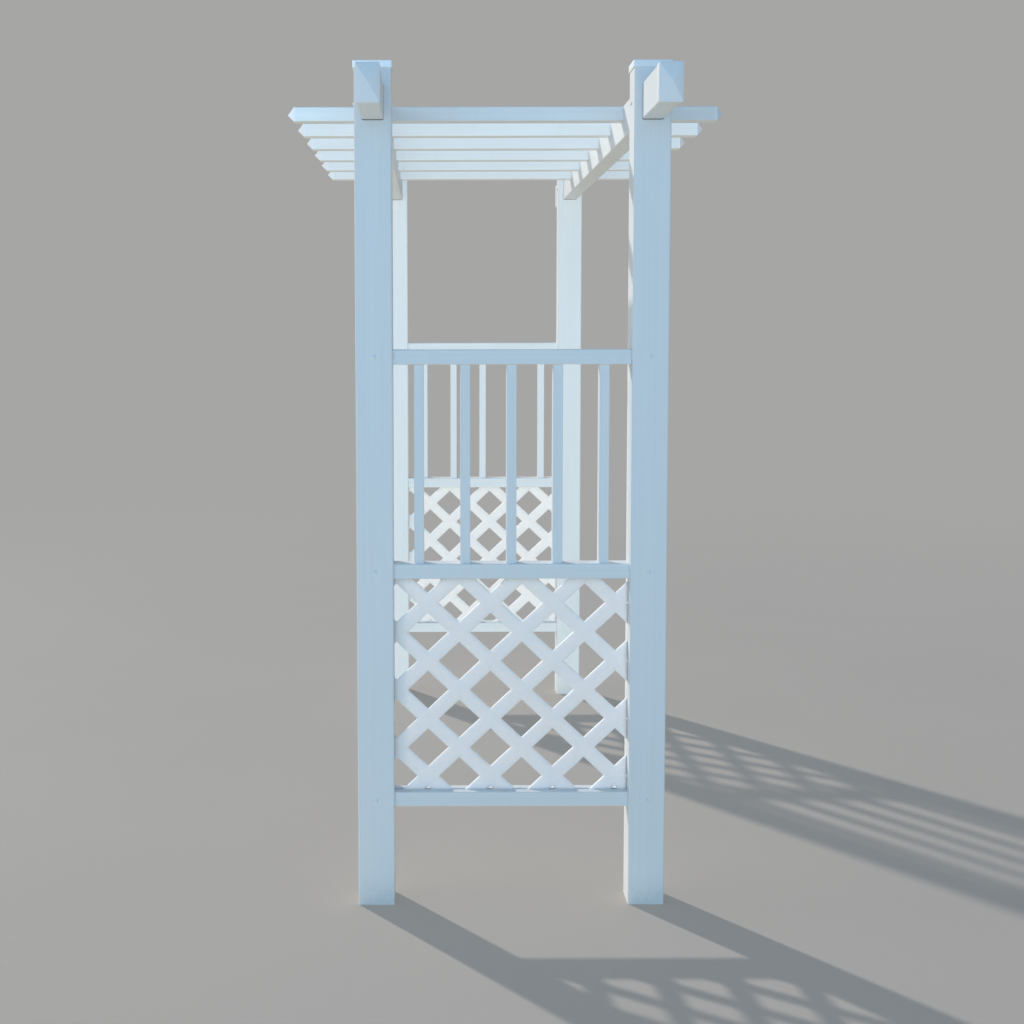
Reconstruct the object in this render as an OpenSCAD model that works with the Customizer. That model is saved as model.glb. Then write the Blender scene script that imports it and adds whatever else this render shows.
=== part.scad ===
// Vinyl garden arbor: four hollow posts, two lattice-and-picket side panels, two header beams that
// run through the posts, and rafters let into the beams.
// The passage runs along X between the side panels. Front is -Y, and Z is up from the ground.

/* [Layout] */
// Height of the post caps above the ground
overall_h = 2050; // [1750:1:2500]
// Distance between the posts of one side panel, centre to centre
post_pitch_x = 664; // [620:1:900]
// Distance between the two side panels, centre to centre
post_pitch_y = 2133.6; // [1800:0.1:2700]

/* [Posts] */
// Outer width of the square post
post_w = 88.9; // [86:0.1:100]
// Wall of the post
post_wall = 3.8; // [3:0.1:5]
// Radius of the post's long edges
post_edge_r = 4; // [2:0.5:6]

/* [Post caps] */
// Thickness of the flat top
post_cap_top_t = 3; // [2:0.1:6]
// How far the skirt hangs below the post's top
post_cap_skirt_h = 14; // [8:0.5:30]
// Wall of the skirt
post_cap_wall = 2.4; // [1.5:0.1:4]
// Radius of the cap's upper edges
post_cap_edge_r = 2; // [1:0.1:3]
// Clearance between the post and the skirt
post_cap_fit = 0.15; // [0.1:0.05:0.5]

/* [Header beams] */
// Width of the beam
beam_w = 50.8; // [46:0.1:56]
// Height of the beam
beam_h = 84; // [78:0.5:92]
// Wall of the beam
beam_wall = 3; // [2:0.1:4]
// Radius of the beam's long edges
beam_edge_r = 3.5; // [1:0.5:5]
// Distance from the top of the post caps down to the top of the beams
beam_drop = 54; // [20:1:120]
// How far the tube stands out past the post's outer face
beam_overhang = 270; // [60:1:450]
// Thickness of the inner web that the rafters rest on
beam_web_t = 2.5; // [2:0.1:4]
// Clearance between the beam and the post's cut-out at the sides and above
beam_fit = 0.4; // [0.3:0.1:1.5]
// Clearance below the beam, which hangs on its screws
beam_slack = 1.8; // [0.3:0.1:3]

/* [Beam end caps] */
// Height of the pyramid
beam_cap_point = 18; // [8:0.5:40]
// Thickness of the plate under the pyramid
beam_cap_plate_t = 2; // [1:0.1:5]
// Length of the sleeve over the beam
beam_cap_sleeve_l = 30; // [15:1:50]
// Wall of the sleeve
beam_cap_wall = 1.8; // [1:0.1:3]
// Clearance between the beam and the sleeve
beam_cap_fit = 0.1; // [0.05:0.05:0.4]

/* [Rafters] */
// Number of rafters
rafter_count = 6; // [3:1:7]
// Distance between rafters, centre to centre
rafter_pitch = 294; // [150:1:320]
// Width of the rafter, along the beam
rafter_d = 50.8; // [38:0.1:54]
// Height of the rafter
rafter_h = 37; // [30:0.5:42]
// Wall of the rafter
rafter_wall = 2.5; // [2:0.1:4]
// Radius of the rafter's long edges
rafter_edge_r = 3; // [1:0.5:5]
// How far the tube stands out past the post's outer face
rafter_overhang = 169.5; // [60:0.5:350]
// How far the rafters' tops lie below the tops of the beams
rafter_sink = 2; // [0:0.5:4]
// Clearance between the rafter and each side of its notch
rafter_fit = 0.4; // [0.2:0.1:1]

/* [Rafter end caps] */
// Height of the pyramid
rafter_cap_point = 18.5; // [8:0.5:35]
// Thickness of the band between the tube and the pyramid
rafter_cap_band = 4.5; // [2:0.5:8]
// Length of the plug inside the tube
rafter_plug_l = 20; // [10:1:35]
// Wall of the plug
rafter_plug_wall = 2; // [1:0.1:3]
// Clearance between the plug and the tube
rafter_plug_fit = 0.2; // [0.1:0.05:0.4]

/* [Rails] */
// Height of the top rail's upper face above the ground
top_rail_z = 1368; // [1250:1:1600]
// Height of the middle rail's upper face above the ground
mid_rail_z = 846.3; // [700:0.1:1100]
// Height of the bottom rail's upper face above the ground
bottom_rail_z = 279; // [80:1:400]
// Depth of the rail
rail_d = 57; // [50:0.5:64]
// Height of the rail
rail_h = 36.5; // [32:0.5:50]
// Wall of the rail
rail_wall = 3; // [2:0.1:4]
// Radius of the rail's long edges
rail_edge_r = 3; // [1:0.5:5]
// Thickness of the rail's inner web
rail_web_t = 2.4; // [1.5:0.1:4]
// How far each end of the rail reaches into its post
rail_tenon = 60; // [56:1:78]
// Clearance between the rail and the post's cut-out, at the sides and above
rail_fit = 0.4; // [0.2:0.1:1]

/* [Pickets] */
// Number of pickets in one side panel
picket_count = 5; // [3:1:5]
// Distance between pickets, centre to centre
picket_pitch = 112.4; // [60:0.1:118]
// Width of the picket, along the panel
picket_w = 24; // [18:0.5:30]
// Depth of the picket, through the panel
picket_d = 38; // [25:0.5:42]
// Wall of the picket
picket_wall = 1.8; // [1.2:0.1:3]
// Radius of the picket's long edges
picket_edge_r = 2; // [1:0.5:4]
// Clearance between the picket and its cut-out
picket_fit = 0.3; // [0.2:0.1:0.8]
// Room for the picket to grow in the top rail
picket_play = 1.5; // [0.5:0.5:4]

/* [Lattice] */
// Thickness of the sheet
lattice_t = 8; // [3:0.5:14]
// Width of the strips between the openings
lattice_strip_w = 35.7; // [20:0.1:60]
// Distance between openings along a row
lattice_pitch_x = 153.9; // [120:0.1:220]
// Distance between openings up a column
lattice_pitch_z = 144.8; // [110:0.1:220]
// Sideways place of the pattern, measured from the panel's middle
lattice_shift_x = -50.2; // [-80:0.1:80]
// Height of a row of openings above the bottom rail
lattice_shift_z = 250; // [150:0.5:300]
// Clearance between the sheet and each side of its groove
lattice_fit = 1; // [0.3:0.1:2]
// Gap between the sheet and each post
lattice_side_gap = 0.5; // [0.3:0.1:2]
// Room for the sheet to grow in the middle rail
lattice_play = 1.5; // [0.5:0.5:4]

/* [Screws and covers] */
// Diameter of the screw's shank
screw_d = 4.2; // [3:0.1:5]
// Length of the screw's pointed end, past the wall that it holds
screw_point = 3.5; // [2:0.5:6]
// Diameter of the screw's head
screw_head_d = 7; // [6:0.1:7.2]
// Height of the screw's head
screw_head_h = 1.9; // [1:0.1:2]
// Clearance round the shank
screw_fit = 0.1; // [0.05:0.05:0.3]
// Diameter of the domed cover
cover_d = 11.5; // [11.3:0.1:16]
// Height of the domed cover
cover_h = 4.5; // [4.3:0.1:6]
// Wall of the domed cover
cover_wall = 0.9; // [0.6:0.1:0.9]

/* [Hidden] */
$fn = 48;
// Length by which a cutting shape passes a face
over = 1;
white = [0.95, 0.96, 0.98];
steel = [0.66, 0.67, 0.69];

// Front and rear are -Y and +Y, left and right are -X and +X
ends = [["front", -1], ["rear", 1]];
sides = [["left", -1], ["right", 1]];
rails = [["top", top_rail_z], ["middle", mid_rail_z], ["bottom", bottom_rail_z]];

post_h = overall_h - post_cap_top_t;
post_in = post_w - 2 * post_wall;
post_face_x = (post_pitch_x + post_w) / 2;
post_face_y = (post_pitch_y + post_w) / 2;
bay_w = post_pitch_x - post_w;
post_cap_w = post_w + 2 * (post_cap_fit + post_cap_wall);

beam_l = 2 * (post_face_y + beam_overhang);
beam_top_z = overall_h - beam_drop;
beam_mid_z = beam_top_z - beam_h / 2;
rafter_top_z = beam_top_z - rafter_sink;
notch_z = rafter_top_z - rafter_h;
beam_cap_grow = beam_cap_fit + beam_cap_wall;

rafter_l = 2 * (post_face_x + rafter_overhang);
first_rafter_y = -(rafter_count - 1) / 2 * rafter_pitch;

rail_l = bay_w + 2 * rail_tenon;
rail_web_low = (rail_h - rail_web_t) / 2;
rail_web_top = (rail_h + rail_web_t) / 2;

picket_base_z = mid_rail_z - rail_h + rail_web_top;
picket_top_z = top_rail_z - rail_h + rail_web_low - picket_play;

lattice_base_z = bottom_rail_z - rail_h + rail_web_top;
lattice_top_z = mid_rail_z - rail_h + rail_web_low - lattice_play;
lattice_h = lattice_top_z - lattice_base_z;
lattice_w = bay_w - 2 * lattice_side_gap;
lattice_row_z = bottom_rail_z + lattice_shift_z - lattice_base_z;
// Distance between the middles of neighbouring strips, and the openings' share of the pattern
lattice_line = lattice_pitch_x * lattice_pitch_z / norm([lattice_pitch_x, lattice_pitch_z]);
lattice_open = 1 - lattice_strip_w / lattice_line;

rail_screw_l = (post_w - rail_d) / 2 + rail_wall;
beam_screw_l = (post_w - beam_w) / 2 + beam_wall;
rafter_screw_l = rafter_h + beam_web_t;

// Flat outlines

module rounded_rect(w, h, r) {
    square([w - 2 * r, h], center = true);
    square([w, h - 2 * r], center = true);
    for (x = [-1, 1], y = [-1, 1])
        translate([x * (w / 2 - r), y * (h / 2 - r)]) circle(r = r);
}

module tube_outline(w, h, wall, r) {
    difference() {
        rounded_rect(w, h, r);
        rounded_rect(w - 2 * wall, h - 2 * wall, max(r - wall, 0.5));
    }
}

// Lengths along an axis, centred on the origin

module along_x(l) {
    rotate([90, 0, 90]) linear_extrude(l, center = true) children();
}

module along_y(l) {
    rotate([90, 0, 0]) linear_extrude(l, center = true) children();
}

// Four-sided point on the plane z = 0, cut from a bar with rounded edges
module point(w, h, r, rise) {
    wedge = function (size) [[-size / 2, 0], [size / 2, 0], [0, rise]];
    intersection() {
        linear_extrude(rise) rounded_rect(w, h, r);
        rotate([90, 0, 0]) linear_extrude(h, center = true) polygon(wedge(w));
        rotate([90, 0, 90]) linear_extrude(w, center = true) polygon(wedge(h));
    }
}

// Screws and covers stand on the plane z = 0 and point down

module screw(grip) {
    cylinder(d = screw_head_d, h = screw_head_h);
    translate([0, 0, -grip]) cylinder(d = screw_d, h = grip);
    translate([0, 0, -grip - screw_point]) cylinder(d1 = 0.6, d2 = screw_d, h = screw_point);
}

module screw_hole(depth) {
    translate([0, 0, -depth - over]) cylinder(d = screw_d + 2 * screw_fit, h = depth + 2 * over);
}

module screw_cover() {
    base_r = cover_d / 2;
    dome_r = (base_r * base_r + cover_h * cover_h) / (2 * cover_h);
    rotate_extrude() intersection() {
        translate([0, cover_h - dome_r]) difference() {
            circle(r = dome_r);
            circle(r = dome_r - cover_wall);
        }
        square([dome_r, cover_h]);
    }
}

// Places of the screws, each with its outside along the local +Z

module at_rail_screws(x, y) {
    for (r = rails)
        translate([x * post_pitch_x / 2, y * post_face_y, r[1] - rail_h / 2])
            rotate([-90 * y, 0, 0]) children();
}

module at_beam_screws(x, y) {
    for (face = [-1, 1])
        translate([x * post_pitch_x / 2 + face * post_w / 2, y * post_pitch_y / 2, beam_mid_z])
            rotate([0, 90 * face, 0]) children();
}

module at_rafter_screws() {
    for (x = [-1, 1], i = [1:rafter_count])
        translate([x * post_pitch_x / 2, rafter_y(i), rafter_top_z]) children();
}

function rafter_y(i) = first_rafter_y + (i - 1) * rafter_pitch;
function picket_x(i) = (i - (picket_count + 1) / 2) * picket_pitch;

// Posts

module post(x, y) {
    color(white)
    difference() {
        translate([x * post_pitch_x / 2, y * post_pitch_y / 2])
            linear_extrude(post_h) tube_outline(post_w, post_w, post_wall, post_edge_r);
        beam_cutout(x, y);
        for (r = rails) rail_cutout(x, y, r[1]);
        at_rail_screws(x, y) screw_hole(post_wall);
        at_beam_screws(x, y) screw_hole(post_wall);
    }
}

// Routed opening for the beam, through the front and the rear wall
module beam_cutout(x, y) {
    w = beam_w + 2 * beam_fit;
    h = beam_h + beam_fit + beam_slack;
    translate([x * post_pitch_x / 2, y * post_pitch_y / 2, beam_top_z + beam_fit - h / 2])
        along_y(post_w + 2 * over) rounded_rect(w, h, beam_edge_r + beam_fit);
}

// Routed opening for a rail's end, through the wall that faces the bay; the rail rests on its edge
module rail_cutout(x, y, top_z) {
    h = rail_h + rail_fit;
    translate([x * (bay_w + post_wall) / 2, y * post_pitch_y / 2, top_z + rail_fit - h / 2])
        along_x(post_wall + 2 * over) rounded_rect(rail_d + 2 * rail_fit, h, rail_edge_r);
}

// Flat cap with a skirt, its upper edges rounded by two crossed bars
module post_cap(x, y) {
    h = post_cap_top_t + post_cap_skirt_h;
    color(white)
    translate([x * post_pitch_x / 2, y * post_pitch_y / 2, overall_h - h])
    difference() {
        intersection() {
            linear_extrude(h) rounded_rect(post_cap_w, post_cap_w, post_edge_r);
            along_x(post_cap_w) round_topped(post_cap_w, h, post_cap_edge_r);
            along_y(post_cap_w) round_topped(post_cap_w, h, post_cap_edge_r);
        }
        translate([0, 0, -over]) linear_extrude(post_cap_skirt_h + over)
            rounded_rect(post_w + 2 * post_cap_fit, post_w + 2 * post_cap_fit, post_edge_r);
    }
}

// Outline that stands on the origin, with its two upper corners rounded
module round_topped(w, h, r) {
    translate([-w / 2, 0]) square([w, h - r]);
    translate([r - w / 2, 0]) square([w - 2 * r, h]);
    for (side = [-1, 1]) translate([side * (w / 2 - r), h - r]) circle(r = r);
}

// Header beams

module beam(x) {
    color(white)
    difference() {
        translate([x * post_pitch_x / 2, 0, beam_mid_z]) along_y(beam_l) beam_outline();
        for (i = [1:rafter_count])
            translate([x * post_pitch_x / 2, rafter_y(i), notch_z + rafter_h])
                cube([beam_w + 2 * over, rafter_d + 2 * rafter_fit, 2 * rafter_h], center = true);
        for (y = [-1, 1]) at_beam_screws(x, y) screw_hole(beam_screw_l + screw_point);
        at_rafter_screws() screw_hole(rafter_screw_l + screw_point);
    }
}

// Tube with a web level with the bottom of the notches
module beam_outline() {
    tube_outline(beam_w, beam_h, beam_wall, beam_edge_r);
    translate([0, notch_z - beam_mid_z - beam_web_t / 2])
        square([beam_w - beam_wall, beam_web_t], center = true);
}

// Sleeve, plate and pyramid over the beam's cut end
module beam_cap(x, y) {
    w = beam_w + 2 * beam_cap_grow;
    h = beam_h + 2 * beam_cap_grow;
    r = beam_edge_r + beam_cap_grow;
    color(white)
    translate([x * post_pitch_x / 2, y * beam_l / 2, beam_mid_z])
    rotate([-90 * y, 0, 0]) {
        translate([0, 0, -beam_cap_sleeve_l]) linear_extrude(beam_cap_sleeve_l) difference() {
            rounded_rect(w, h, r);
            rounded_rect(beam_w + 2 * beam_cap_fit, beam_h + 2 * beam_cap_fit, beam_edge_r);
        }
        linear_extrude(beam_cap_plate_t) rounded_rect(w, h, r);
        translate([0, 0, beam_cap_plate_t]) point(w, h, r, beam_cap_point);
    }
}

// Rafters

module rafter(i) {
    color(white)
    difference() {
        translate([0, rafter_y(i), rafter_top_z - rafter_h / 2])
            along_x(rafter_l) tube_outline(rafter_d, rafter_h, rafter_wall, rafter_edge_r);
        at_rafter_screws() screw_hole(rafter_screw_l + screw_point);
    }
}

// Plug, band and pyramid in the rafter's cut end
module rafter_cap(i, x) {
    plug_d = rafter_d - 2 * (rafter_wall + rafter_plug_fit);
    plug_h = rafter_h - 2 * (rafter_wall + rafter_plug_fit);
    color(white)
    translate([x * rafter_l / 2, rafter_y(i), rafter_top_z - rafter_h / 2])
    rotate([90, 0, 90 * x]) {
        translate([0, 0, -rafter_plug_l]) linear_extrude(rafter_plug_l)
            tube_outline(plug_d, plug_h, rafter_plug_wall, 0.8);
        linear_extrude(rafter_cap_band) rounded_rect(rafter_d, rafter_h, rafter_edge_r);
        translate([0, 0, rafter_cap_band]) point(rafter_d, rafter_h, rafter_edge_r, rafter_cap_point);
    }
}

// Rails

module rail(y, top_z, sockets_below = false, sockets_above = false, groove_below = false,
            groove_above = false) {
    color(white)
    difference() {
        translate([0, y * post_pitch_y / 2, top_z - rail_h / 2]) along_x(rail_l) rail_outline();
        if (sockets_above) picket_sockets(y, top_z);
        if (sockets_below) picket_sockets(y, top_z - rail_h);
        if (groove_above) lattice_groove(y, top_z);
        if (groove_below) lattice_groove(y, top_z - rail_h);
        for (x = [-1, 1]) at_rail_screws(x, y) screw_hole(rail_screw_l + screw_point);
    }
}

module rail_outline() {
    tube_outline(rail_d, rail_h, rail_wall, rail_edge_r);
    square([rail_d - rail_wall, rail_web_t], center = true);
}

// Routed openings through the wall at height z
module picket_sockets(y, z) {
    for (i = [1:picket_count])
        translate([picket_x(i), y * post_pitch_y / 2, z])
            linear_extrude(2 * rail_wall + over, center = true)
                rounded_rect(picket_w + 2 * picket_fit, picket_d + 2 * picket_fit,
                             picket_edge_r + picket_fit);
}

// Groove through the wall at height z, as long as the bay
module lattice_groove(y, z) {
    translate([0, y * post_pitch_y / 2, z])
        cube([bay_w, lattice_t + 2 * lattice_fit, 2 * rail_wall + over], center = true);
}

// Pickets stand on the middle rail's web

module picket(y, i) {
    color(white)
    translate([picket_x(i), y * post_pitch_y / 2, picket_base_z])
        linear_extrude(picket_top_z - picket_base_z)
            tube_outline(picket_w, picket_d, picket_wall, picket_edge_r);
}

// Lattice sheet: diamonds cut in staggered rows, standing on the bottom rail's web

module lattice(y) {
    nx = ceil(lattice_w / lattice_pitch_x) + 1;
    nz = ceil(lattice_h / lattice_pitch_z) + 1;
    color(white)
    translate([0, y * post_pitch_y / 2, lattice_base_z])
    rotate([90, 0, 0]) linear_extrude(lattice_t, center = true)
    difference() {
        translate([-lattice_w / 2, 0]) square([lattice_w, lattice_h]);
        for (i = [-nx:nx], j = [-nz:nz], half = [0, 0.5]) {
            cx = lattice_shift_x + (i + half) * lattice_pitch_x;
            cz = lattice_row_z + (j + half) * lattice_pitch_z;
            if (abs(cx) < (lattice_w + lattice_pitch_x) / 2
                && abs(cz - lattice_h / 2) < (lattice_h + lattice_pitch_z) / 2)
                translate([cx, cz]) diamond();
        }
    }
}

module diamond() {
    x = lattice_pitch_x * lattice_open / 2;
    z = lattice_pitch_z * lattice_open / 2;
    polygon([[x, 0], [0, z], [-x, 0], [0, -z]]);
}

// Fastenings

module rail_screws() {
    color(steel) for (x = [-1, 1], y = [-1, 1]) at_rail_screws(x, y) screw(rail_screw_l);
}

module rail_screw_covers() {
    color(white) for (x = [-1, 1], y = [-1, 1]) at_rail_screws(x, y) screw_cover();
}

module beam_screws() {
    color(steel) for (x = [-1, 1], y = [-1, 1]) at_beam_screws(x, y) screw(beam_screw_l);
}

module beam_screw_covers() {
    color(white) for (x = [-1, 1], y = [-1, 1]) at_beam_screws(x, y) screw_cover();
}

module rafter_screws() {
    color(steel) at_rafter_screws() screw(rafter_screw_l);
}

module rafter_screw_covers() {
    color(white) at_rafter_screws() screw_cover();
}

for (e = ends, s = sides) {
    post(s[1], e[1]);
    post_cap(s[1], e[1]);
    beam_cap(s[1], e[1]);
}
for (s = sides) {
    beam(s[1]);
}
for (i = [1:rafter_count]) {
    rafter(i);
    for (s = sides)
        rafter_cap(i, s[1]);
}
for (e = ends) {
    rail(e[1], top_rail_z, sockets_below = true);
    rail(e[1], mid_rail_z, sockets_above = true, groove_below = true);
    rail(e[1], bottom_rail_z, groove_above = true);
    for (i = [1:picket_count])
        picket(e[1], i);
    lattice(e[1]);
}
rail_screws();
rail_screw_covers();
beam_screws();
beam_screw_covers();
rafter_screws();
rafter_screw_covers();
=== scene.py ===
import math

import bmesh
import bpy
from bpy.props import FloatProperty, FloatVectorProperty, IntProperty, PointerProperty
from mathutils import Matrix, Vector


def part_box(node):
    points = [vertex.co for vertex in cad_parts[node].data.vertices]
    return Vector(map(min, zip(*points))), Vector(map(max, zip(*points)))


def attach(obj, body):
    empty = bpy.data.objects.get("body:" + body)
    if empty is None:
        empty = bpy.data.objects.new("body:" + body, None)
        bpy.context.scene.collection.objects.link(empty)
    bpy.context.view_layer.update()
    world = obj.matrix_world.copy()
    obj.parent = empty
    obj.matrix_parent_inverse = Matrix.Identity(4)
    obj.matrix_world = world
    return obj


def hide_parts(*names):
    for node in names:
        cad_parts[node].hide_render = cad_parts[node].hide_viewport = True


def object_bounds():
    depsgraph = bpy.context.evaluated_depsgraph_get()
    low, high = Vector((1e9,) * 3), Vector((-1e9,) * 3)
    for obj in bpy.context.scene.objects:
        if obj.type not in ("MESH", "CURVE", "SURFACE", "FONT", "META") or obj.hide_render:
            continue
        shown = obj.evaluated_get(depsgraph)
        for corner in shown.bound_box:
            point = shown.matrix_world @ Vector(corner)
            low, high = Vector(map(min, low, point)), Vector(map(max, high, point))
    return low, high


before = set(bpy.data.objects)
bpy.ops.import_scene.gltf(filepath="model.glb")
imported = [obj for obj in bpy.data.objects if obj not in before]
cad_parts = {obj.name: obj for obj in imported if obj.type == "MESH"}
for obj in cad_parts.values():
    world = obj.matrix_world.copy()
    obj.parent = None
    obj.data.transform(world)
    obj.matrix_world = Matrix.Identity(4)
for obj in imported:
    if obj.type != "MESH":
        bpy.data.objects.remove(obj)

bl_info = {
    "name": "Vinyl garden arbor",
    "version": (1, 0, 0),
    "blender": (4, 5, 0),
    "location": "3D View > Sidebar > Arbor",
    "description": "Moulded caps, lattice sheets, screw covers and weathered vinyl for a garden arbor",
    "category": "Object",
}

CAD_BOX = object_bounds()

# Names of the arbor's parts. Front is -Y, left is -X.
ENDS = ("front", "rear")
SIDES = ("left", "right")
RAILS = ("top", "middle", "bottom")
POSTS = [f"{end}_{side}_post" for end in ENDS for side in SIDES]
BEAMS = [f"{side}_beam" for side in SIDES]
RAFTERS = sorted(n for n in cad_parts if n.removeprefix("rafter_").isdigit())
PICKETS = sorted(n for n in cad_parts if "_picket_" in n)
SIDE_RAILS = [f"{end}_{rail}_rail" for end in ENDS for rail in RAILS]
SCREWS = ("rail_screws", "beam_screws", "rafter_screws")
X, Y, Z = Vector((1, 0, 0)), Vector((0, 1, 0)), Vector((0, 0, 1))

# Starts of the names of the pieces that have a fill lamp of their own
EAVES_PIECES = ("rafter_1", "front_left_post_cap", "front_right_post_cap")
INNER_PIECES = ("rear_", "rafter_")

# Cosine above which two directions count as one
SAME_WAY = 0.999
# Distance under which two places count as one
SAME_PLACE = 1e-6
# Angles up to which the edges of a piece and of a screw cover are shaded smooth
SMOOTH_ANGLE = math.radians(32)
DOME_ANGLE = math.radians(40)
# Faces round a long edge of a bar or a post cap
CORNER_FACES = 6
# Length of a lattice cutter, as a multiple of the sheet's thickness
CUTTER_REACH = 3
# Corners of the round floor
FLOOR_CORNERS = 96
# Height of a panel lamp, as a share of its width
LAMP_SHAPE = 0.8
# Width of the camera's sensor in millimetres
SENSOR_WIDTH = 36


# Sizes and colours that a user may change

class ArborCapSizes(bpy.types.PropertyGroup):
    """Sizes of the moulded caps that their boxes in the frame don't give."""
    post_wall: FloatProperty(
        name="Post cap wall", description="Wall of the skirt with its clearance on the post",
        default=0.00255, min=0.001, unit="LENGTH")
    post_skirt: FloatProperty(
        name="Post cap skirt", description="How far the skirt hangs below the post's top",
        default=0.014, min=0.005, unit="LENGTH")
    post_corner: FloatProperty(
        name="Post cap corner", description="Radius of the post cap's upright edges",
        default=0.004, min=0.001, unit="LENGTH")
    post_crown: FloatProperty(
        name="Post cap brow", description="Radius of the post cap's upper edges",
        default=0.002, min=0.0005, unit="LENGTH")
    beam_point: FloatProperty(
        name="Beam cap point", description="Height of the four-sided point on a beam cap",
        default=0.018, min=0.005, unit="LENGTH")
    beam_sleeve: FloatProperty(
        name="Beam cap sleeve", description="Length of the sleeve over the beam's end",
        default=0.030, min=0.01, unit="LENGTH")
    beam_wall: FloatProperty(
        name="Beam cap wall", description="Wall of the sleeve with its clearance on the beam",
        default=0.0019, min=0.001, unit="LENGTH")
    beam_corner: FloatProperty(
        name="Beam cap corner", description="Radius of the sleeve's long edges",
        default=0.0054, min=0.001, unit="LENGTH")
    rafter_point: FloatProperty(
        name="Rafter cap point", description="Height of the four-sided point on a rafter cap",
        default=0.0185, min=0.005, unit="LENGTH")
    rafter_plug: FloatProperty(
        name="Rafter cap plug", description="Length of the plug inside the rafter",
        default=0.020, min=0.005, unit="LENGTH")
    rafter_step: FloatProperty(
        name="Rafter cap step", description="How far the plug stands in from the cap's outside",
        default=0.0027, min=0.001, unit="LENGTH")
    plug_wall: FloatProperty(
        name="Rafter cap plug wall", description="Wall of the hollow plug",
        default=0.002025, min=0.0005, unit="LENGTH")
    plug_hollow: FloatProperty(
        name="Rafter cap plug hollow", description="Depth of the hollow in the plug",
        default=0.019, min=0.001, unit="LENGTH")
    rafter_corner: FloatProperty(
        name="Rafter cap corner", description="Radius of the rafter cap's long edges",
        default=0.003, min=0.001, unit="LENGTH")
    soft_edge: FloatProperty(
        name="Moulded edge", description="Radius of the ridges and rims that moulding leaves",
        default=0.0007, min=0.0001, unit="LENGTH")


class ArborLatticeSizes(bpy.types.PropertyGroup):
    """Pattern of the pierced sheets."""
    strip: FloatProperty(
        name="Strip", description="Width of the strips between the openings",
        default=0.0357, min=0.02, unit="LENGTH")
    pitch_x: FloatProperty(
        name="Pitch along a row", description="Distance between openings along a row",
        default=0.1539, min=0.1, unit="LENGTH")
    pitch_z: FloatProperty(
        name="Pitch up a column", description="Distance between openings up a column",
        default=0.1448, min=0.1, unit="LENGTH")
    shift_x: FloatProperty(
        name="Sideways shift", description="Place of a column of openings, from the panel's middle",
        default=-0.0502, unit="LENGTH")
    row_height: FloatProperty(
        name="Row height", description="Height of a row of openings above the bottom rail",
        default=0.250, unit="LENGTH")
    soft_edge: FloatProperty(
        name="Cut edge", description="Width of the small chamfer that the punch leaves",
        default=0.0006, min=0.0001, unit="LENGTH")


class ArborCoverSizes(bpy.types.PropertyGroup):
    """The domed covers over the screws."""
    width: FloatProperty(
        name="Cover width", description="Outer width of a screw cover",
        default=0.0115, min=0.005, unit="LENGTH")
    height: FloatProperty(
        name="Cover height", description="How far a cover stands out",
        default=0.0045, min=0.002, unit="LENGTH")
    lip: FloatProperty(
        name="Cover lip", description="Width of the thin lip round the dome",
        default=0.0006, min=0.0001, unit="LENGTH")
    wall: FloatProperty(
        name="Cover wall", description="Wall of the cover",
        default=0.0009, min=0.0003, unit="LENGTH")
    sides: IntProperty(
        name="Cover sides", description="Number of sides of the dome", default=24, min=12)


class ArborFinish(bpy.types.PropertyGroup):
    """Colours and gloss of the vinyl and the screws."""
    # The tubes' white is tinted cool, partly as painted sky light of faces in shade
    tube_white_sky_tinted: FloatVectorProperty(
        name="Tube white", description="Colour of the extruded tubes",
        default=(0.81, 0.845, 0.87), subtype="COLOR", min=0, max=1)
    # The caps' white is tinted bluer, partly as painted sky light of faces in shade
    cap_white_sky_tinted: FloatVectorProperty(
        name="Cap white", description="Colour of the moulded caps and covers",
        default=(0.82, 0.88, 0.935), subtype="COLOR", min=0, max=1)
    sheet_white: FloatVectorProperty(
        name="Sheet white", description="Colour of the lattice sheets",
        default=(0.90, 0.875, 0.87), subtype="COLOR", min=0, max=1)
    dust: FloatVectorProperty(
        name="Dust", description="Colour of the dust on upper faces",
        default=(0.52, 0.50, 0.45), subtype="COLOR", min=0, max=1)
    # Grey of the soil with painted shade that darkens the feet
    soil_and_foot_shade: FloatVectorProperty(
        name="Soil", description="Colour of the soil splashed on the feet",
        default=(0.42, 0.43, 0.43), subtype="COLOR", min=0, max=1)
    zinc: FloatVectorProperty(
        name="Zinc", description="Colour of the plated screws",
        default=(0.58, 0.59, 0.60), subtype="COLOR", min=0, max=1)
    tube_roughness: FloatProperty(
        name="Tube roughness", description="Mean roughness of the extruded tubes",
        default=0.44, min=0, max=1)
    cap_roughness: FloatProperty(
        name="Cap roughness", description="Mean roughness of the moulded caps",
        default=0.47, min=0, max=1)
    sheet_roughness: FloatProperty(
        name="Sheet roughness", description="Mean roughness of the lattice sheets",
        default=0.52, min=0, max=1)
    sheet_glow: FloatProperty(
        name="Sheet glow", description="How deep light scatters into the thin sheets",
        default=0.0135, min=0.001, unit="LENGTH")
    sheet_glow_tint: FloatVectorProperty(
        name="Sheet glow tint", description="Shares of that depth for red, green and blue light",
        default=(1.0, 0.9, 0.85), min=0, max=1)
    tube_relief: FloatProperty(
        name="Tube relief", description="Depth of the waves and die lines in the tubes",
        default=0.0006, min=0, unit="LENGTH")
    cap_relief: FloatProperty(
        name="Cap relief", description="Depth of the grain and sink marks in the caps",
        default=0.0004, min=0, unit="LENGTH")
    sheet_relief: FloatProperty(
        name="Sheet relief", description="Depth of the grain in the lattice sheets",
        default=0.0005, min=0, unit="LENGTH")
    # Height up to which that soil and painted shade reach
    soil_and_foot_shade_height: FloatProperty(
        name="Soil height", description="Height up to which soil has splashed",
        default=0.11, min=0.01, unit="LENGTH")


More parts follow.
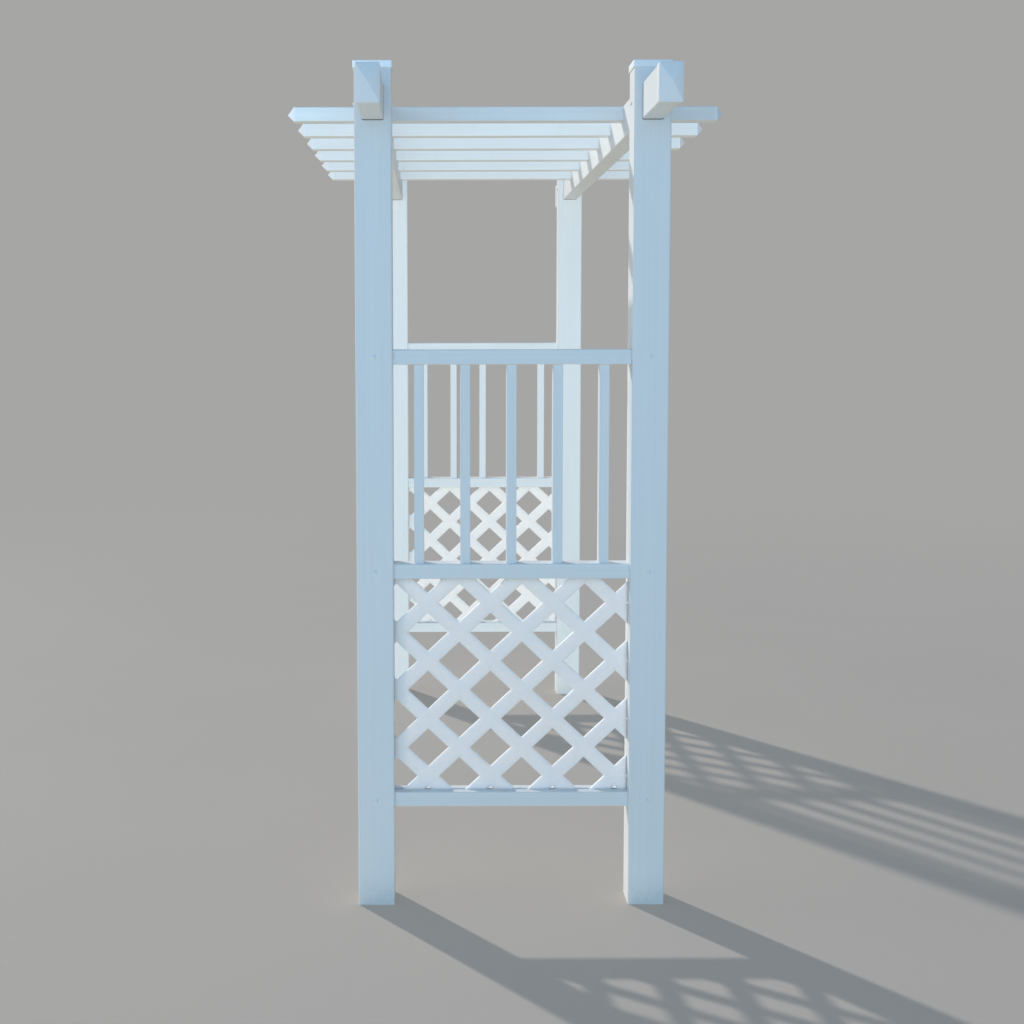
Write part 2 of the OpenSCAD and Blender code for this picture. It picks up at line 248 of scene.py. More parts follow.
class ArborStage(bpy.types.PropertyGroup):
    """Floor, lamps and camera."""
    backdrop: FloatVectorProperty(
        name="Backdrop", description="Colour of the plain backdrop and the far floor",
        default=(0.38, 0.38, 0.375), subtype="COLOR", min=0, max=1)
    floor: FloatVectorProperty(
        name="Floor", description="Colour of the floor as the camera sees it",
        default=(0.57, 0.51, 0.455), subtype="COLOR", min=0, max=1)
    floor_glow: FloatVectorProperty(
        name="Floor glow", description="Colour with which the floor throws light back on the arbor",
        default=(1.0, 0.85, 0.63), subtype="COLOR", min=0, max=1)
    floor_mottle: FloatProperty(
        name="Floor mottle", description="Share of its colour that the floor's darker patches have",
        default=0.97, min=0, max=1)
    floor_radius: FloatProperty(
        name="Floor radius", description="Radius of the floor", default=9.0, min=3, unit="LENGTH")
    floor_fade: FloatProperty(
        name="Floor fade", description="Distance from which the floor fades into the backdrop",
        default=1.5, min=0, unit="LENGTH")
    sky: FloatVectorProperty(
        name="Sky", description="Colour of the soft light from all round",
        default=(0.51, 0.72, 0.95), subtype="COLOR", min=0, max=1)
    sky_strength: FloatProperty(
        name="Sky strength", description="Strength of the soft light from all round", default=0.44, min=0)
    key_heading: FloatVectorProperty(
        name="Key heading", description="Direction in which the key light travels",
        default=(0.524, -0.721, -0.453), subtype="DIRECTION")
    key_softness: FloatProperty(
        name="Key softness", description="Angle that the key light fills, which softens its shadows",
        default=math.radians(1.5), min=0, subtype="ANGLE")
    key_strength: FloatProperty(
        name="Key strength", description="Strength of the key light", default=2.4, min=0)
    key_tint: FloatVectorProperty(
        name="Key tint", description="Colour of the key light",
        default=(1.0, 0.955, 0.90), subtype="COLOR", min=0, max=1)
    inner_heading: FloatVectorProperty(
        name="Inner heading", description="Direction in which the fill for the rear panel travels",
        default=(0, 1, 0.25), subtype="DIRECTION")
    inner_softness: FloatProperty(
        name="Inner softness", description="Angle that the fill for the rear panel comes from",
        default=math.radians(40), min=0, subtype="ANGLE")
    inner_strength: FloatProperty(
        name="Inner strength", description="Strength of the fill for the rafters and the rear panel",
        default=0.98, min=0)
    inner_tint: FloatVectorProperty(
        name="Inner tint", description="Colour of the fill for the rafters and the rear panel",
        default=(0.92, 1.0, 1.0), subtype="COLOR", min=0, max=1)
    front_place: FloatVectorProperty(
        name="Front place", description="Place of the large lamp in front",
        default=(-0.6, -6.5, 1.6), subtype="TRANSLATION", unit="LENGTH")
    front_strength: FloatProperty(
        name="Front strength", description="Power of the large lamp in front, in watts",
        default=132.0, min=0)
    front_tint: FloatVectorProperty(
        name="Front tint", description="Colour of the large lamp in front",
        default=(0.41, 0.71, 1.0), subtype="COLOR", min=0, max=1)
    side_place: FloatVectorProperty(
        name="Side place", description="Place of the large lamp at the left",
        default=(-6.5, 0.9, 2.4), subtype="TRANSLATION", unit="LENGTH")
    side_strength: FloatProperty(
        name="Side strength", description="Power of the large lamp at the left, in watts",
        default=115.0, min=0)
    side_tint: FloatVectorProperty(
        name="Side tint", description="Colour of the large lamp at the left",
        default=(1.0, 0.84, 0.68), subtype="COLOR", min=0, max=1)
    large_width: FloatProperty(
        name="Large lamps", description="Width of the two large lamps", default=5.0, min=1, unit="LENGTH")
    eaves_place: FloatVectorProperty(
        name="Eaves place", description="Place of the small lamp for the first rafter and post caps",
        default=(-1.2, -1.9, 2.0), subtype="TRANSLATION", unit="LENGTH")
    eaves_strength: FloatProperty(
        name="Eaves strength", description="Power of that small lamp, in watts", default=6.5, min=0)
    eaves_tint: FloatVectorProperty(
        name="Eaves tint", description="Colour of that small lamp",
        default=(0.65, 0.88, 1.0), subtype="COLOR", min=0, max=1)
    eaves_width: FloatProperty(
        name="Eaves width", description="Width of that small lamp", default=1.0, min=0.1, unit="LENGTH")
    lens: FloatProperty(
        name="Lens", description="Focal length in millimetres",
        default=52.08, min=10, max=300)
    eye: FloatVectorProperty(
        name="Eye", description="Place of the camera", default=(-0.1878, -4.6692, 1.4099),
        subtype="TRANSLATION", unit="LENGTH")
    pitch: FloatProperty(
        name="Pitch", description="How far the camera looks down", default=0.07943, subtype="ANGLE")
    yaw: FloatProperty(
        name="Yaw", description="How far the camera looks to the right", default=-0.00058, subtype="ANGLE")
    roll: FloatProperty(
        name="Roll", description="How far the camera leans to the right", default=0.00231, subtype="ANGLE")
    shift: FloatVectorProperty(
        name="Shift", description="Lens shift that frames the arbor as the photograph does",
        default=(0.0768, -0.0606), size=2)


# Modelling helpers

def start_clean():
    """Leaves edit mode and deselects everything, so that the next operator meets new pieces alone."""
    if bpy.context.mode != "OBJECT":
        bpy.ops.object.mode_set(mode="OBJECT")
    bpy.ops.object.select_all(action="DESELECT")


def activate(piece):
    start_clean()
    piece.select_set(True)
    bpy.context.view_layer.objects.active = piece


def new_piece(name):
    """Names the primitive that was just added, and sets its place and size into its mesh."""
    piece = bpy.context.object
    piece.name = piece.data.name = name
    bpy.ops.object.transform_apply(location=True, rotation=True, scale=True)
    return piece


def pick(kind, test):
    """In edit mode, selects the faces or the edges for which the test is true."""
    bpy.ops.mesh.select_mode(type=kind)
    bpy.ops.mesh.select_all(action="DESELECT")
    mesh = bmesh.from_edit_mesh(bpy.context.object.data)
    mesh.normal_update()
    for item in mesh.faces if kind == "FACE" else mesh.edges:
        item.select_set(test(item))
    bmesh.update_edit_mesh(bpy.context.object.data)


def faces_towards(direction):
    return lambda face: face.normal.dot(direction) > SAME_WAY


def runs_along(axis):
    def test(edge):
        line = (edge.verts[1].co - edge.verts[0].co).normalized()
        return abs(line.dot(axis)) > SAME_WAY
    return test


def extrude(offset):
    bpy.ops.mesh.extrude_region_move(TRANSFORM_OT_translate={"value": offset})


def apply_modifier(piece, kind, **settings):
    activate(piece)
    modifier = piece.modifiers.new(kind, kind)
    for name, value in settings.items():
        setattr(modifier, name, value)
    bpy.ops.object.modifier_apply(modifier=modifier.name)


def round_edges(piece, width, segments, angle):
    """Bevels all edges sharper than the angle, and shades the piece smooth."""
    apply_modifier(piece, "BEVEL", width=width, segments=segments, limit_method="ANGLE", angle_limit=angle)
    bpy.ops.object.shade_smooth_by_angle(angle=SMOOTH_ANGLE)


def rounded_bar(name, width, length, height, corner):
    """Bar along Y round the origin, with its four long edges rounded. Left in edit mode."""
    start_clean()
    bpy.ops.mesh.primitive_cube_add(size=1, scale=(width, length, height))
    piece = new_piece(name)
    bpy.ops.object.mode_set(mode="EDIT")
    pick("EDGE", runs_along(Y))
    bpy.ops.mesh.bevel(offset=corner, segments=CORNER_FACES, affect="EDGES")
    return piece


def cut_point(width, length, height, rise):
    """Cuts the bar's -Y end to a four-sided point with four slanting planes."""
    tip = Vector((0, -length / 2, 0))
    for across, half in ((X, width / 2), (Z, height / 2)):
        for side in (1, -1):
            slope = (side * rise * across - half * Y).normalized()
            bpy.ops.mesh.select_all(action="SELECT")
            bpy.ops.mesh.bisect(plane_co=tip, plane_no=slope, use_fill=True, clear_outer=True,
                                threshold=SAME_PLACE)


def box_size(node):
    low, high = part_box(node)
    return high - low


def box_middle(node):
    low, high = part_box(node)
    return (low + high) / 2


def dress(piece, material):
    """Gives a piece or a node one material for all its faces."""
    piece.data.materials.clear()
    piece.data.materials.append(material)


def copy_to(master, place, turn):
    """Copies a master piece to a place, turned, and sets both into the copy's mesh."""
    activate(master)
    bpy.ops.object.duplicate()
    piece = bpy.context.object
    piece.matrix_world = Matrix.Translation(place) @ turn
    bpy.ops.object.transform_apply(location=True, rotation=True, scale=True)
    return piece


def stand_for(piece, name, node, material):
    """Names and dresses a vinyl piece that replaces a node of the frame."""
    piece.name = piece.data.name = name
    dress(piece, material)
    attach(piece, "root")
    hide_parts(node)


def discard(piece):
    mesh = piece.data
    bpy.data.objects.remove(piece)
    bpy.data.meshes.remove(mesh)


def set_down(master, angles, material):
    """Replaces nodes with copies of a master, at their boxes' middles and turned about Z by angles."""
    for node, angle in angles.items():
        piece = copy_to(master, box_middle(node), Matrix.Rotation(angle, 4, "Z"))
        stand_for(piece, node + "_moulded", node, material)
    discard(master)


# Shader groups

class Graph:
    """Places and links shader nodes from left to right."""
    COLUMNS, COLUMN_WIDTH, ROW_HEIGHT = 7, 220, 260

    def __init__(self, tree):
        self.tree = tree
        tree.nodes.clear()
        self.count = 0

    def add(self, kind, **settings):
        node = self.tree.nodes.new(kind)
        row, column = divmod(self.count, self.COLUMNS)
        node.location = (column * self.COLUMN_WIDTH, -row * self.ROW_HEIGHT)
        self.count += 1
        for name, value in settings.items():
            setattr(node, name, value)
        return node

    def link(self, start, end):
        self.tree.links.new(start, end)

    def feed(self, socket, value):
        """Links another node's socket to this one, or sets a constant on it."""
        if isinstance(value, bpy.types.NodeSocket):
            self.link(value, socket)
        else:
            socket.default_value = value

    def noise(self, place, scale, detail=3.0, roughness=0.55):
        node = self.add("ShaderNodeTexNoise")
        for name, value in (("Vector", place), ("Scale", scale), ("Detail", detail),
                            ("Roughness", roughness)):
            self.feed(node.inputs[name], value)
        return node.outputs["Fac"]

    def scaled(self, place, factors):
        node = self.add("ShaderNodeVectorMath", operation="MULTIPLY")
        self.feed(node.inputs[0], place)
        self.feed(node.inputs[1], factors)
        return node.outputs[0]

    def upward(self, vector):
        """The vector's part along Z."""
        node = self.add("ShaderNodeSeparateXYZ")
        self.link(vector, node.inputs[0])
        return node.outputs["Z"]

    def ramp(self, value, low, high, out_low=0.0, out_high=1.0):
        """The value's range from low to high, taken smoothly to another range."""
        node = self.add("ShaderNodeMapRange", interpolation_type="SMOOTHSTEP")
        for name, number in (("Value", value), ("From Min", low), ("From Max", high),
                             ("To Min", out_low), ("To Max", out_high)):
            self.feed(node.inputs[name], number)
        return node.outputs["Result"]

    def math(self, operation, *values):
        """Chains one operation through all the values."""
        result = values[0]
        for value in values[1:]:
            node = self.add("ShaderNodeMath", operation=operation)
            self.feed(node.inputs[0], result)
            self.feed(node.inputs[1], value)
            result = node.outputs[0]
        return result

    def blend(self, share, first, second):
        """Mixes two colours by a share."""
        node = self.add("ShaderNodeMix", data_type="RGBA")
        sockets = {socket.identifier: socket for socket in (*node.inputs, *node.outputs)}
        for name, value in (("Factor_Float", share), ("A_Color", first), ("B_Color", second)):
            self.feed(sockets[name], value)
        return sockets["Result_Color"]


def node_group(name, sockets_in, sockets_out):
    """An empty shader group with its sockets, each a name, a kind and, for an input, a default."""
    tree = bpy.data.node_groups.new(name, "ShaderNodeTree")
    graph = Graph(tree)
    for label, kind, default in sockets_in:
        socket = tree.interface.new_socket(label, in_out="INPUT", socket_type="NodeSocket" + kind)
        socket.default_value = default
    for label, kind in sockets_out:
        tree.interface.new_socket(label, in_out="OUTPUT", socket_type="NodeSocket" + kind)
    return graph, graph.add("NodeGroupInput").outputs, graph.add("NodeGroupOutput").inputs


def extrusion_lines_group():
    """Fine lines that the die draws along a tube, and the slow waves of its walls."""
    graph, given, result = node_group(
        "extrusion lines",
        [("Stretch", "Vector", (1, 1, 1)), ("Line Scale", "Float", 320.0), ("Line Height", "Float", 0.004),
         ("Wave Scale", "Float", 7.0)],
        [("Lines", "Float"), ("Height", "Float")])
    place = graph.add("ShaderNodeTexCoord").outputs["Object"]
    fine = graph.noise(graph.scaled(place, given["Stretch"]), given["Line Scale"], detail=2.0)
    lines = graph.ramp(fine, 0.35, 0.65)
    waves = graph.noise(place, given["Wave Scale"], detail=1.0)
    graph.link(lines, result["Lines"])
    raised = graph.math("MULTIPLY", lines, given["Line Height"])
    graph.link(graph.math("ADD", raised, waves), result["Height"])
    return graph.tree


def weathering_group():
    """Dust on upper faces, soil with painted shade that darkens the feet, faint rain streaks and a slow
    change of tone.

    Texture is the surface's own line or grain, and Dullness is what the weather adds to roughness."""
    graph, given, result = node_group(
        "garden weathering",
        [("White", "Color", (0.8, 0.8, 0.8, 1)), ("Aged White", "Color", (0.70, 0.735, 0.76, 1)),
         ("Dust", "Color", (0.5, 0.5, 0.45, 1)), ("Soil", "Color", (0.42, 0.43, 0.43, 1)),
         ("Dust Amount", "Float", 0.2), ("Patch Scale", "Float", 14.0),
         # Soil here also stands for painted shade at the feet
         ("Soil Amount", "Float", 0.35), ("Soil Height", "Float", 0.11), ("Splash Scale", "Float", 75.0),
         ("Streaks", "Float", 0.05), ("Streak Stretch", "Vector", (55, 55, 1.3)),
         ("Ageing", "Float", 0.1), ("Tone Scale", "Float", 3.2),
         ("Texture", "Float", 0.0), ("Texture Ageing", "Float", 0.17),
         ("Grime Dullness", "Float", 0.6), ("Top Dullness", "Float", 0.25)],
        [("Color", "Color"), ("Dullness", "Float")])
    place = graph.add("ShaderNodeTexCoord").outputs["Object"]
    facing = graph.add("ShaderNodeNewGeometry").outputs["Normal"]

    level = graph.ramp(graph.upward(facing), 0.6, 0.98)
    patches = graph.ramp(graph.noise(place, given["Patch Scale"], detail=5.0), 0.35, 0.7)
    dust = graph.math("MULTIPLY", level, patches, given["Dust Amount"])

    # Soil and painted shade at the feet: a grey that grows towards the floor, in splashes
    low = graph.ramp(graph.upward(place), 0.0, given["Soil Height"], 1.0, 0.0)
    splash = graph.noise(place, given["Splash Scale"], detail=6.0, roughness=0.7)
    spatter = graph.ramp(splash, 0.2, 0.75, out_low=0.35)
    soil_and_foot_shade = graph.math("MULTIPLY", low, low, spatter, given["Soil Amount"])

    runs = graph.noise(graph.scaled(place, given["Streak Stretch"]), 1.0)
    streaks = graph.math("MULTIPLY", graph.ramp(runs, 0.5, 0.8), given["Streaks"])

    slow = graph.ramp(graph.noise(place, given["Tone Scale"]), 0.3, 0.7, 0.0, given["Ageing"])
    fine = graph.math("MULTIPLY", given["Texture"], given["Texture Ageing"])
    base = graph.blend(graph.math("ADD", slow, fine), given["White"], given["Aged White"])
    dusty = graph.blend(graph.math("ADD", dust, streaks), base, given["Dust"])
    graph.link(graph.blend(soil_and_foot_shade, dusty, given["Soil"]), result["Color"])

    grime = graph.math("MULTIPLY", graph.math("ADD", dust, streaks, soil_and_foot_shade), given["Grime Dullness"])
    top = graph.math("MULTIPLY", level, given["Top Dullness"])
    graph.link(graph.math("ADD", grime, top), result["Dullness"])
    return graph.tree


def moulded_grain_group():
    """Fine pebbled grain, for moulded caps, foamed sheet and zinc, over shallow sink marks."""
    graph, given, result = node_group(
        "moulded grain",
        [("Grain Scale", "Float", 420.0), ("Grain Height", "Float", 0.03), ("Sink Scale", "Float", 26.0)],
        [("Grain", "Float"), ("Height", "Float")])
    place = graph.add("ShaderNodeTexCoord").outputs["Object"]
    grain = graph.noise(place, given["Grain Scale"], roughness=0.6)
    sink = graph.noise(place, given["Sink Scale"], detail=1.0)
    graph.link(graph.ramp(grain, 0.3, 0.7), result["Grain"])
    raised = graph.math("MULTIPLY", grain, given["Grain Height"])
    graph.link(graph.math("ADD", raised, sink), result["Height"])
    return graph.tree


def place_group(graph, name, build, **values):
    """Adds a shared group to a material and sets its inputs, each named with _ for a space."""
    node = graph.add("ShaderNodeGroup")
    node.node_tree = bpy.data.node_groups.get(name) or build()
    for label, value in values.items():
        node.inputs[label.replace("_", " ")].default_value = value
    return node


# Materials

def opaque(colour, shade=1.0):
    """The colour, darkened to a share of itself, with full alpha."""
    return (*(shade * part for part in colour), 1.0)


def new_material(name, metallic=0.0):
    material = bpy.data.materials.new(name)
    material.use_nodes = True
    graph = Graph(material.node_tree)
    output = graph.add("ShaderNodeOutputMaterial")
    shader = graph.add("ShaderNodeBsdfPrincipled")
    shader.inputs["Metallic"].default_value = metallic
    graph.link(shader.outputs[0], output.inputs["Surface"])
    return material, graph, shader


def raise_surface(graph, shader, height, distance):
    bump = graph.add("ShaderNodeBump")
    bump.inputs["Distance"].default_value = distance
    graph.link(height, bump.inputs["Height"])
    graph.link(bump.outputs[0], shader.inputs["Normal"])


def weathered(graph, shader, finish, white, roughness, texture, spread, **amounts):
    """Colour from the weathering group, and roughness from the texture and the weather."""
    weather = place_group(graph, "garden weathering", weathering_group, White=opaque(white),
                          Dust=opaque(finish.dust), Soil=opaque(finish.soil_and_foot_shade),
                          Soil_Height=finish.soil_and_foot_shade_height, **amounts)
    graph.link(texture, weather.inputs["Texture"])
    graph.link(weather.outputs["Color"], shader.inputs["Base Color"])
    clean = graph.ramp(texture, 0.0, 1.0, roughness - spread, roughness + spread)
    graph.link(graph.math("ADD", clean, weather.outputs["Dullness"]), shader.inputs["Roughness"])


def extruded_vinyl(name, finish, axis):
    """Satin white tube whose die lines run along the axis."""
    material, graph, shader = new_material(name)
    along = 0.006
    stretch = tuple(along if i == axis else 1.0 for i in range(3))
    lines = place_group(graph, "extrusion lines", extrusion_lines_group, Stretch=stretch)
    # The cool tint of this white is partly painted sky light
    weathered(graph, shader, finish, finish.tube_white_sky_tinted, finish.tube_roughness,
              lines.outputs["Lines"], spread=0.05)
    raise_surface(graph, shader, lines.outputs["Height"], finish.tube_relief)
    return material


def moulded_vinyl(finish):
    """White of the moulded caps and covers, whose cooler tint is partly painted sky light, with a fine
    grain, made once for all of them.
    """
    name = "white vinyl moulded"
    if name in bpy.data.materials:
        return bpy.data.materials[name]
    material, graph, shader = new_material(name)
    grain = place_group(graph, "moulded grain", moulded_grain_group)
    # The bluer tint of this white is partly painted sky light
    weathered(graph, shader, finish, finish.cap_white_sky_tinted, finish.cap_roughness,
              grain.outputs["Grain"], spread=0.04, Dust_Amount=0.12, Streaks=0.03)
    raise_surface(graph, shader, grain.outputs["Height"], finish.cap_relief)
    return material


def sheet_vinyl(name, finish):
    """Matt white foamed sheet with a coarser grain, into which light scatters."""
    material, graph, shader = new_material(name)
    grain = place_group(graph, "moulded grain", moulded_grain_group, Grain_Scale=260.0)
    weathered(graph, shader, finish, finish.sheet_white, finish.sheet_roughness,
              grain.outputs["Grain"], spread=0.06, Dust_Amount=0.15, Streaks=0.02)
    raise_surface(graph, shader, grain.outputs["Height"], finish.sheet_relief)
    shader.inputs["Subsurface Weight"].default_value = 1.0
    shader.inputs["Subsurface Radius"].default_value = finish.sheet_glow_tint
    shader.inputs["Subsurface Scale"].default_value = finish.sheet_glow
    return material


def zinc_plate(name, finish):
    """Zinc-plated steel with a spangled tone."""
    material, graph, shader = new_material(name, metallic=1.0)
    spangle = place_group(graph, "moulded grain", moulded_grain_group, Grain_Scale=900.0)
    tone = graph.ramp(spangle.outputs["Grain"], 0.0, 1.0, out_high=0.35)
    colour = graph.blend(tone, opaque(finish.zinc), opaque(finish.zinc, shade=0.6))
    graph.link(colour, shader.inputs["Base Color"])
    roughness = graph.ramp(spangle.outputs["Grain"], 0.0, 1.0, 0.28, 0.42)
    graph.link(roughness, shader.inputs["Roughness"])
    raise_surface(graph, shader, spangle.outputs["Height"], distance=0.0001)
    return material


def background_rays(graph):
    """Mask of the rays that show the background: from the camera, off gloss and through glass."""
    rays = graph.add("ShaderNodeLightPath").outputs
    return graph.math("MAXIMUM", rays["Is Camera Ray"], rays["Is Transmission Ray"],
                      rays["Is Glossy Ray"])


def show_blend(graph, output, share, first, second):
    """Links the blend of two shaders to the output, the second of them by its share."""
    mix = graph.add("ShaderNodeMixShader")
    graph.link(share, mix.inputs["Fac"])
    graph.link(first.outputs[0], mix.inputs[1])
    graph.link(second.outputs[0], mix.inputs[2])
    graph.link(mix.outputs[0], output.inputs["Surface"])


def floor_paint(stage):
    """Painted floor that keeps the arbor's shadow and fades into the backdrop with distance.

    It throws light back on the arbor in a colour of its own."""
    material, graph, shader = new_material("studio floor")
    output = next(node for node in graph.tree.nodes if node.type == "OUTPUT_MATERIAL")
    place = graph.add("ShaderNodeTexCoord").outputs["Object"]
    tone = graph.ramp(graph.noise(place, 1.1, detail=4.0), 0.3, 0.7)
    seen = background_rays(graph)
    shown, thrown = (graph.blend(tone, opaque(paint), opaque(paint, stage.floor_mottle))
                     for paint in (stage.floor, stage.floor_glow))
    graph.link(graph.blend(seen, thrown, shown), shader.inputs["Base Color"])
    roughness = graph.ramp(graph.noise(place, 60.0), 0.3, 0.7, 0.75, 0.85)
    graph.link(roughness, shader.inputs["Roughness"])
    flat = graph.add("ShaderNodeEmission")
    flat.inputs["Color"].default_value = opaque(stage.backdrop)
    distance = graph.add("ShaderNodeVectorMath", operation="LENGTH")
    graph.link(place, distance.inputs[0])
    far = graph.ramp(distance.outputs["Value"], stage.floor_fade, stage.floor_radius, out_low=0.3)
    show_blend(graph, output, graph.math("MULTIPLY", far, seen), shader, flat)
    return material


# The operators, one for each group of like pieces

class ARBOR_OT_tubes(bpy.types.Operator):
    """Dresses the posts, beams, rafters, rails and pickets in extruded vinyl"""
    bl_idname = "arbor.tubes"
    bl_label = "Extruded tubes"

    def execute(self, context):
        finish = context.scene.arbor_finish
        for axis, label, nodes in ((2, "upright", POSTS + PICKETS), (1, "lengthwise", BEAMS),
                                   (0, "crosswise", RAFTERS + SIDE_RAILS)):
            material = extruded_vinyl(f"white vinyl {label}", finish, axis)
            for node in nodes:
                dress(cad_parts[node], material)
        return {"FINISHED"}


class ARBOR_OT_post_caps(bpy.types.Operator):
    """Models the flat post caps with their skirts"""
    bl_idname = "arbor.post_caps"
    bl_label = "Post caps"

    def execute(self, context):
        sizes = context.scene.arbor_caps
        nodes = [post + "_cap" for post in POSTS]
        extent = box_size(nodes[0])
        start_clean()
        bpy.ops.mesh.primitive_cube_add(size=1, scale=extent)
        master = new_piece("post_cap_master")
        bpy.ops.object.mode_set(mode="EDIT")
        pick("EDGE", runs_along(Z))
        bpy.ops.mesh.bevel(offset=sizes.post_corner, segments=CORNER_FACES, affect="EDGES")
        pick("FACE", faces_towards(-Z))
        bpy.ops.mesh.inset(thickness=sizes.post_wall)
        extrude((0, 0, sizes.post_skirt))
        brow = extent.z / 2
        pick("EDGE", lambda edge: all(abs(v.co.z - brow) < SAME_PLACE for v in edge.verts))
        bpy.ops.mesh.bevel(offset=sizes.post_crown, segments=4, affect="EDGES")
        bpy.ops.object.mode_set(mode="OBJECT")
        round_edges(master, sizes.soft_edge / 2, segments=2, angle=math.radians(50))
        set_down(master, dict.fromkeys(nodes, 0), moulded_vinyl(context.scene.arbor_finish))
        return {"FINISHED"}


class ARBOR_OT_beam_caps(bpy.types.Operator):
    """Models the sleeves with four-sided points over the beams' ends"""
    bl_idname = "arbor.beam_caps"
    bl_label = "Beam end caps"

    def execute(self, context):
        sizes = context.scene.arbor_caps
        nodes = [f"{end}_{side}_beam_cap" for end in ENDS for side in SIDES]
        width, length, height = box_size(nodes[0])
        master = rounded_bar("beam_cap_master", width, length, height, sizes.beam_corner)
        cut_point(width, length, height, sizes.beam_point)
        pick("FACE", faces_towards(Y))
        bpy.ops.mesh.inset(thickness=sizes.beam_wall)
        extrude((0, -sizes.beam_sleeve, 0))
        bpy.ops.object.mode_set(mode="OBJECT")
        round_edges(master, sizes.soft_edge, segments=3, angle=math.radians(28))
        angles = {node: 0 if node.startswith("front") else math.pi for node in nodes}
        set_down(master, angles, moulded_vinyl(context.scene.arbor_finish))
        return {"FINISHED"}


class ARBOR_OT_rafter_caps(bpy.types.Operator):
    """Models the plugs with a band and a four-sided point in the rafters' ends"""
    bl_idname = "arbor.rafter_caps"
    bl_label = "Rafter end caps"

    def execute(self, context):
        sizes = context.scene.arbor_caps
        nodes = [f"{rafter}_{side}_cap" for rafter in RAFTERS for side in SIDES]
        length, width, height = box_size(nodes[0])
        head = length - sizes.rafter_plug
        master = rounded_bar("rafter_cap_master", width, head, height, sizes.rafter_corner)
        cut_point(width, head, height, sizes.rafter_point)
        pick("FACE", faces_towards(Y))
        bpy.ops.mesh.inset(thickness=sizes.rafter_step)
        extrude((0, sizes.rafter_plug, 0))
        bpy.ops.mesh.inset(thickness=sizes.plug_wall)
        extrude((0, -sizes.plug_hollow, 0))
        bpy.ops.mesh.select_all(action="SELECT")
        bpy.ops.transform.translate(value=(0, -sizes.rafter_plug / 2, 0))
        bpy.ops.object.mode_set(mode="OBJECT")
        round_edges(master, sizes.soft_edge, segments=3, angle=math.radians(28))
        angles = {node: -math.pi / 2 if node.endswith("left_cap") else math.pi / 2 for node in nodes}
        set_down(master, angles, moulded_vinyl(context.scene.arbor_finish))
        return {"FINISHED"}


class ARBOR_OT_lattice(bpy.types.Operator):
    """Models the pierced sheets below the middle rails"""
    bl_idname = "arbor.lattice"
    bl_label = "Lattice sheets"

    def execute(self, context):
        sizes = context.scene.arbor_lattice
        material = sheet_vinyl("white vinyl sheet", context.scene.arbor_finish)
        for end in ENDS:
            node = f"{end}_lattice"
            row_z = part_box(f"{end}_bottom_rail")[1].z + sizes.row_height
            start_clean()
            bpy.ops.mesh.primitive_cube_add(size=1, location=box_middle(node), scale=box_size(node))
            sheet = new_piece(f"{node}_sheet")
            cutters = self.cutters(sizes, box_middle(node), box_size(node), row_z)
            apply_modifier(sheet, "BOOLEAN", operation="DIFFERENCE", solver="EXACT", object=cutters)
            discard(cutters)
            round_edges(sheet, sizes.soft_edge, segments=2, angle=math.radians(30))
            stand_for(sheet, f"{node}_sheet", node, material)
        return {"FINISHED"}

    def cutters(self, sizes, middle, extent, row_z):
        """Diamond bars through the sheet, in two staggered sets that cover it."""
        spacing = sizes.pitch_x * sizes.pitch_z / math.hypot(sizes.pitch_x, sizes.pitch_z)
        opening = 1 - sizes.strip / spacing
        across = math.ceil(extent.x / sizes.pitch_x / 2) + 1
        up = math.ceil(extent.z / sizes.pitch_z / 2) + 1
        rows_up = round((middle.z - row_z) / sizes.pitch_z)
        start_clean()
        bpy.ops.mesh.primitive_cylinder_add(
            vertices=4, radius=1, depth=1, rotation=(math.pi / 2, 0, 0),
            location=(middle.x + sizes.shift_x - across * sizes.pitch_x, middle.y,
                      row_z + (rows_up - up) * sizes.pitch_z))
        bpy.context.object.scale = (sizes.pitch_x * opening / 2, sizes.pitch_z * opening / 2,
                                    extent.y * CUTTER_REACH)
        bars = new_piece("lattice_cutters")
        for count, offset in ((2 * across + 1, (sizes.pitch_x, 0, 0)),
                              (2 * up + 1, (0, 0, sizes.pitch_z))):
            apply_modifier(bars, "ARRAY", count=count, use_relative_offset=False,
                           use_constant_offset=True, constant_offset_displace=offset)
        bpy.ops.object.mode_set(mode="EDIT")
        bpy.ops.mesh.select_all(action="SELECT")
        bpy.ops.mesh.duplicate_move(
            TRANSFORM_OT_translate={"value": (sizes.pitch_x / 2, 0, sizes.pitch_z / 2)})
        bpy.ops.object.mode_set(mode="OBJECT")
        return bars


class ARBOR_OT_screws(bpy.types.Operator):
    """Dresses the screws in zinc plate"""
    bl_idname = "arbor.screws"
    bl_label = "Screws"

    def execute(self, context):
        material = zinc_plate("zinc plate", context.scene.arbor_finish)
        for node in SCREWS:
            dress(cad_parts[node], material)
        return {"FINISHED"}


